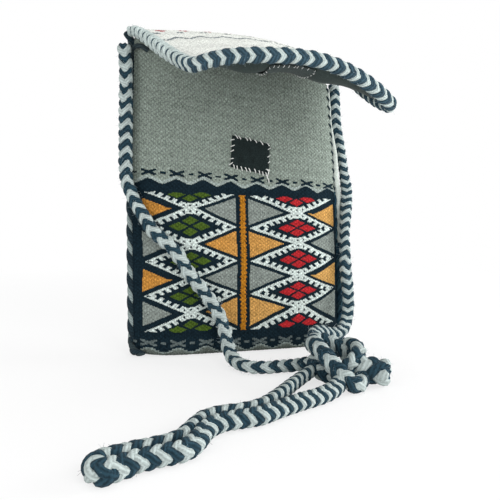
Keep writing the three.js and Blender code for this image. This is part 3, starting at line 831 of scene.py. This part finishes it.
# Rolled hem along the top of the front panel
HEM_STEPS = 160
hu = np.linspace(-0.985, 0.985, HEM_STEPS)
hem_line = cloth_point(hu, np.zeros_like(hu))
hem_tubes = Tubes()
hem_tubes.add(section_rings(hem_line, np.tile([0.0, -1.0, 0.0], (HEM_STEPS, 1)), 1.75, 1.3, 10))
hem = hem_tubes.build("front_hem", [hem_grey])
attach(hem, "root")


# Plaited edging of the flap
EDGING_PITCH, EDGING_FLATNESS = 15.8, 0.95


def beyond_edge(eu, et, du, dt):
    """A place half a plait outside the flap's edge, with the way out of the edge there."""
    d = 1e-3
    eu, et = np.array([eu], float), np.array([et], float)
    here = flap_point(eu, et)
    out = here - flap_point(eu - du * d, et - dt * d)
    along = unit(flap_point(eu + dt * d, et - du * d) - flap_point(eu - dt * d, et + du * d))
    out = unit(out - along * np.sum(out * along))
    return np.concatenate([here + out * (BRAID * 0.5), out], 1)[0]


side_steps = (0.1, 0.15, 0.22, 0.3, 0.4, 0.5, 0.6, 0.72, 0.84, 0.92)
edge_line = [beyond_edge(-1, t, -1, 0) for t in side_steps]
edge_line.append(beyond_edge(-0.99, 1, -0.8, 0.7))
edge_line += [beyond_edge(a, 1, 0, 1) for a in (-0.86, -0.66, -0.44, -0.22, 0, 0.22, 0.44, 0.66, 0.86)]
edge_line.append(beyond_edge(0.99, 1, 0.8, 0.7))
edge_line += [beyond_edge(1, t, 1, 0) for t in reversed(side_steps)]
line, way = smooth_path(edge_line, 0.75)
path, outward = line[:, :3], line[:, 3:]
t = unit(np.gradient(path, axis=0))
outward = unit(outward - t * np.sum(outward * t, -1, keepdims=True))
edging = Tubes()
girth = BRAID * np.interp(way, [0, 45], [0.72, 1])
pale = np.interp(way, [0, 70, 105, 125], [1, 0.85, 0, -0.3])
plait(edging, path, way, t, outward, girth, EDGING_PITCH, FACING_V, EDGING_FLATNESS, pale=pale)
flap_plait = edging.build("flap_plait", [lit_flap_navy, lit_flap_white])
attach(flap_plait, "root")
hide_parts("flap_braid")


# Seam bindings: two-ply ropes, and on the right a pale band above the lower part
edge_wools = [edge_navy, edge_grey, edge_shaded_dark, edge_pale, edge_blue, edge_teal]
NAVY_PLY, GREY_PLY, SHADED_DARK_PLY, PALE_PLY, BLUE_PLY, TEAL_PLY = range(6)
ROPE_PITCH, PLY_ORBIT, WHIP_PITCH = 17.5, 1.15, 6.8
TURN_IN = np.array([(72.5, -12.0, 2.4), (76.6, -9.2, 2.5), (79.4, -6.2, 3.0), (80.7, -2.8, 5.0)])
CURL = [(-78, -1.5, 219), (-75, -5.5, 221), (-70.5, -8.5, 220.5), (-66.5, -10, 217.5)]
BAND_LEVELS = [80, 90, 116, 130, 150, 172]


def rope(roll, line, side, plies, fat):
    """Two plies twisted round a line; they start thin where it turns in under the base."""
    way = lengths_along(line)
    turn = side * 2 * math.pi * way / ROPE_PITCH
    t = unit(np.gradient(line, axis=0))
    n = unit(np.array([1.0, 0, 0]) - t * t[:, :1])
    b = np.cross(t, n)
    full = np.clip(0.4 + way / 10, 0.4, 1) if line[0, 2] < 10 else np.ones(len(line))
    for ply, slot in enumerate(plies):
        a = turn + ply * math.pi
        e = np.cos(a)[:, None] * n + np.sin(a)[:, None] * b
        wide, thick = fat[ply] * full, fat[ply] * 0.8 * full
        roll.add(section_rings(line + e * PLY_ORBIT * full[:, None], e, thick, wide, 12), slot)


def seam_line(side):
    """Middle of a seam, from its turn under the base to the top of the front panel."""
    z = np.linspace(8.0, front_hem(np.array([side]))[0] - 2.6, 330)
    x = side_shift(z) + side * (half_width(z) + GAP + 2.0)
    line = np.stack([x, 0 * z - 0.6, z], -1)
    under, _ = smooth_path([*(TURN_IN * (side, 1, 1)), line[0], line[4]], 0.65)
    return np.concatenate([under[:-8], line[1:]])


def bind_left(roll, line):
    """Dark rope with a grey ply in the lower half; above that a dark ply paints the shade under the flap,
    and the foot and the end curled over the corner use the same dark ply.
    """
    foot, split = np.searchsorted(line[:, 2], [12, 118])
    rise = np.linspace(0.7, 7, 12)
    tail = line[-1] + np.stack([-0.6 * (rise / 2) ** 1.3, 0 * rise + 0.6, rise], -1)
    rope(roll, line[: foot + 1], -1, (NAVY_PLY, SHADED_DARK_PLY), (2.3, 2.1))
    rope(roll, line[foot : split + 1], -1, (NAVY_PLY, GREY_PLY), (2.4, 1.8))
    # Above the grey ply's stretch the dark ply paints the shade under the flap
    rope(roll, np.concatenate([line[split:], tail]), -1, (NAVY_PLY, SHADED_DARK_PLY), (2.3, 2.1))
    curl, _ = smooth_path(CURL, 0.6)
    roll.add(section_rings(curl, np.tile([0.0, -1.0, 0.3], (len(curl), 1)), 1.5, 1.8, 10), SHADED_DARK_PLY)


def bind_right(roll, line):
    """Blue rope below, then a pale band with a thin rope and a whipped thread beside it."""
    z = line[:, 2]
    split, upper = np.searchsorted(z, [80, 120])
    lower = line[: split + 1].copy()
    lower[:, 0] += np.interp(lower[:, 2], [10, 22, 42, 60], [0.8, 2.4, 2.2, 0.8])
    rope(roll, lower, 1, (BLUE_PLY, TEAL_PLY), (2.7, 2.4))
    level = z[split:]
    shift = np.interp(level, BAND_LEVELS, [2.2, 3.0, 3.0, 1.6, 1.4, -0.6])
    band = line[split:] + np.stack([shift, 0 * level, 0 * level], -1)
    wide = np.interp(level, BAND_LEVELS, [1.9, 2.5, 2.5, 2.5, 2.4, 1.3])
    roll.add(section_rings(band, np.tile([0.0, -1.0, 0.0], (len(band), 1)), 2.0, wide, 14), PALE_PLY)
    rope(roll, line[split : upper + 1] - (0.9, 0.6, 0), 1, (BLUE_PLY, TEAL_PLY), (1.4, 1.2))
    level = z[upper:]
    turn = -2 * math.pi * level / WHIP_PITCH
    inward = np.interp(level, [150, 170], [1.6, 2.1])
    whip = np.stack([np.cos(turn) - inward, np.sin(turn) - inward, 0 * turn], -1)
    roll.add(section_rings(line[upper:] + whip, whip, 0.75, 0.75, 8), NAVY_PLY)


for side, name, bind in ((-1, "left", bind_left), (1, "right", bind_right)):
    roll = Tubes()
    bind(roll, seam_line(side))
    binding = roll.build(name + "_binding", edge_wools)
    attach(binding, "root")
    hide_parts(name + "_seam_binding")


# Closure patches and their stitches: half sizes, height of the pile, lean of the front one,
# and a loose end of thread at its corner, across, up and off the cloth
FRONT_PATCH, FLAP_PATCH = (15, 11.3), (14, 12)
FRONT_PILE, FLAP_PILE = 1.6, 0.6
ASKEW = 0.19
LOOSE_END = np.array([
    (-2.0, 0.6, 2.4), (0.4, 0.2, 2.3), (0.3, -2.4, 1.2),
    (0.0, -4.6, 0.7), (1.2, -6.6, 0.5), (1.6, -8.2, 0.5),
])


def patch(name, place_at, half_w, half_h, thick, node, felt):
    """A felted patch with a rounded rim, on the surface that place_at maps."""
    columns, rows = 45, 41
    a, b = np.meshgrid(np.linspace(-1, 1, columns), np.linspace(-1, 1, rows))
    rim = np.clip((1 - np.maximum(np.abs(a), np.abs(b))) / 0.08, 0, 1)
    rise = thick * (0.25 + 0.75 * np.sqrt(rim)) + rng.normal(0, 0.08, a.shape) * (rim > 0.5)
    verts = place_at(a * half_w, b * half_h, rise).reshape(-1, 3)
    rim_low = place_at(a * half_w, b * half_h, 0 * rise - 0.2).reshape(-1, 3)
    faces = grid_faces(rows, columns)[:, ::-1].tolist()
    n = rows * columns
    edge = [*range(columns), *range(2 * columns - 1, n, columns)]
    edge += [*range(n - 2, n - columns - 1, -1), *range(n - 2 * columns, 0, -columns)]
    sides = [[i, j, j + n, i + n] for i, j in zip(edge, edge[1:] + edge[:1])]
    obj = new_object(name, np.concatenate([verts, rim_low]), faces + sides, [felt])
    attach(obj, "root")
    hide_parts(node)


def stitches(name, place_at, half_w, half_h, lift, counts, thick, span, tail):
    """Slanted whip stitches over the rim of a patch."""
    threads = Tubes()
    corners = [(-half_w, half_h), (half_w, half_h), (half_w, -half_h), (-half_w, -half_h)]
    for k in range(4):
        a, b = np.array(corners[k], float), np.array(corners[(k + 1) % 4], float)
        along = unit(b - a)
        outward = np.array([-along[1], along[0]])
        for i in range(counts[k]):
            mid = a + (b - a) * ((i + 0.5 + rng.uniform(-0.25, 0.25)) / counts[k])
            lean = -along * rng.uniform(0.3, 1.1) * span
            start = mid - outward * rng.uniform(1.2, 2.0) * span - lean
            end = mid + outward * rng.uniform(0.4, 1.2) * span + lean
            f = np.linspace(0, 1, 9)
            flat = start + (end - start) * f[:, None]
            up = mix(lift + 0.2, 0.3, np.clip(f * 1.6 - 0.5, 0, 1)) + 0.35 * np.sin(math.pi * f)
            threads.add(thread_rings(place_at(flat[:, 0], flat[:, 1], up), thick, 6))
    if tail:
        curl, _ = smooth_path(LOOSE_END + (half_w - 1.0, 3.0 - half_h, 0), 0.5)
        threads.add(thread_rings(place_at(curl[:, 0], curl[:, 1], curl[:, 2]), thick, 6))
    obj = threads.build(name, [thread_white])
    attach(obj, "root")


def front_patch_at(a, b, rise):
    x = 7.6 + a * math.cos(ASKEW) + b * 0.09
    z = 0.685 * FRONT_HEIGHT - a * math.sin(ASKEW) + b
    return on_front(x, z, CLOTH / 2 + 0.2 + rise)


def flap_patch_at(a, b, rise):
    pu = 0.08 + a / (FLAP_WIDTH / 2)
    ps = 3.965 - (FLAP_PATCH[1] + b) / FLAP_LENGTH
    return lifted(pu, ps, -CLOTH / 2 - GAP - sag(pu, ps) - 0.3 - rise)


patch("front_patch", front_patch_at, *FRONT_PATCH, FRONT_PILE, "front_closure_patch", loop_fuzz)
stitches(
    "front_patch_stitches",
    front_patch_at,
    *FRONT_PATCH,
    FRONT_PILE,
    counts=(7, 4, 9, 5),
    thick=0.33,
    span=1.0,
    tail=True,
)
patch("flap_patch", flap_patch_at, *FLAP_PATCH, FLAP_PILE, "flap_closure_patch", flap_felt)
stitches(
    "flap_patch_stitches",
    flap_patch_at,
    *FLAP_PATCH,
    FLAP_PILE,
    counts=(9, 7, 9, 7),
    thick=0.16,
    span=0.4,
    tail=False,
)


# Loose fibres on the plaits
FIBRE = 0.05


def fuzz(name, obj, count, reach, upright, materials):
    """Short fibres; they lie along the yarns where upright is small."""
    threads = Tubes()
    faces = obj.data.polygons
    for i in rng.choice(len(faces), count):
        face = faces[int(i)]
        lean = unit(upright * np.array(face.normal) + rng.normal(0, 0.6, 3))
        f = np.linspace(-0.1, 1, 3)[:, None]
        length = reach * rng.uniform(0.35, 1)
        bend = rng.normal(0, 0.3, 3)
        line = np.array(face.center) / MM + length * (f * lean + f**2 * bend)
        threads.add(thread_rings(line, FIBRE, 3), face.material_index % len(materials))
    fibres = threads.build(name, materials)
    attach(fibres, "root")


plait_wools = [braid_navy, braid_white]
strap_pieces = {"left": left_run, "right": right_run, "loop": loop, "knot": knot}
for part, count in (("left", 900), ("right", 700), ("loop", 1000), ("knot", 800)):
    fuzz("strap_" + part + "_fuzz", strap_pieces[part], count, 1.6, 1.0, plait_wools)
for part, count in (("left", 2200), ("right", 2200), ("knot", 1800)):
    fuzz("strap_" + part + "_haze", strap_pieces[part], count, 3.2, 0.3, [pale_fibre])
fuzz("flap_plait_fuzz", flap_plait, 1100, 1.5, 1.0, [lit_flap_navy, lit_flap_white])
fuzz("flap_plait_haze", flap_plait, 1500, 2.6, 0.3, [pale_fibre])

# Floor, background and light
floor_mesh = bpy.data.meshes.new("floor")
floor_corners = [(-3, -3), (3, -3), (3, 3), (-3, 3)]
floor_mesh.from_pydata([(x, y, -0.0002) for x, y in floor_corners], [], [(0, 1, 2, 3)])
floor = bpy.data.objects.new("floor", floor_mesh)
scene.collection.objects.link(floor)
paint, tree, shader = nodes_of("floor_white")
shader.inputs["Base Color"].default_value = (0.92, 0.92, 0.92, 1)
shader.inputs["Roughness"].default_value = 1
shader.inputs["Specular IOR Level"].default_value = 0
glow = tree.nodes.new("ShaderNodeEmission")
rays = tree.nodes.new("ShaderNodeLightPath")
spot = tree.nodes.new("ShaderNodeTexCoord")
far = tree.nodes.new("ShaderNodeVectorMath")
far.operation = "LENGTH"
fade = tree.nodes.new("ShaderNodeMapRange")
fade.inputs["From Min"].default_value = 0.15
fade.inputs["From Max"].default_value = 0.6
fade.inputs["To Min"].default_value = 0.7
fade.inputs["To Max"].default_value = 1
tree.links.new(spot.outputs["Object"], far.inputs[0])
tree.links.new(far.outputs["Value"], fade.inputs["Value"])
share = tree.nodes.new("ShaderNodeMath")
share.operation = "MULTIPLY"
tree.links.new(fade.outputs["Result"], share.inputs[1])
choose = tree.nodes.new("ShaderNodeMixShader")
tree.links.new(rays.outputs["Is Camera Ray"], share.inputs[0])
tree.links.new(share.outputs["Value"], choose.inputs["Fac"])
tree.links.new(shader.outputs["BSDF"], choose.inputs[1])
tree.links.new(glow.outputs["Emission"], choose.inputs[2])
tree.links.new(choose.outputs["Shader"], tree.nodes["Material Output"].inputs["Surface"])
floor_mesh.materials.append(paint)

world = bpy.data.worlds.new("studio")
scene.world = world
world.use_nodes = True
tree = world.node_tree
back = tree.nodes["Background"]
rays = tree.nodes.new("ShaderNodeLightPath")
white = tree.nodes.new("ShaderNodeBackground")
white.inputs["Color"].default_value = (1, 1, 1, 1)
white.inputs["Strength"].default_value = 1
back.inputs["Color"].default_value = (1, 1, 1, 1)
back.inputs["Strength"].default_value = 0.62
choose = tree.nodes.new("ShaderNodeMixShader")
tree.links.new(rays.outputs["Is Camera Ray"], choose.inputs["Fac"])
tree.links.new(back.outputs["Background"], choose.inputs[1])
tree.links.new(white.outputs["Background"], choose.inputs[2])
tree.links.new(choose.outputs["Shader"], tree.nodes["World Output"].inputs["Surface"])


def area(name, place, target, size, power):
    lamp = bpy.data.lights.new(name, "AREA")
    lamp.shape = "DISK"
    lamp.size = size
    lamp.energy = power
    obj = bpy.data.objects.new(name, lamp)
    obj.location = place
    obj.rotation_euler = (Vector(target) - Vector(place)).to_track_quat("-Z", "Y").to_euler()
    scene.collection.objects.link(obj)


area("key", (0.45, -1.0, 0.5), (0, 0, 0.1), 0.8, 6)
area("fill", (-0.9, -0.7, 0.3), (0, 0, 0.1), 0.6, 3)
area("top", (0.1, 0.2, 1.2), (0, 0, 0.1), 0.8, 2.6)
area("side", (1.1, -0.12, 0.3), (0, 0, 0.1), 0.6, 9)

scene.view_settings.view_transform = "Standard"
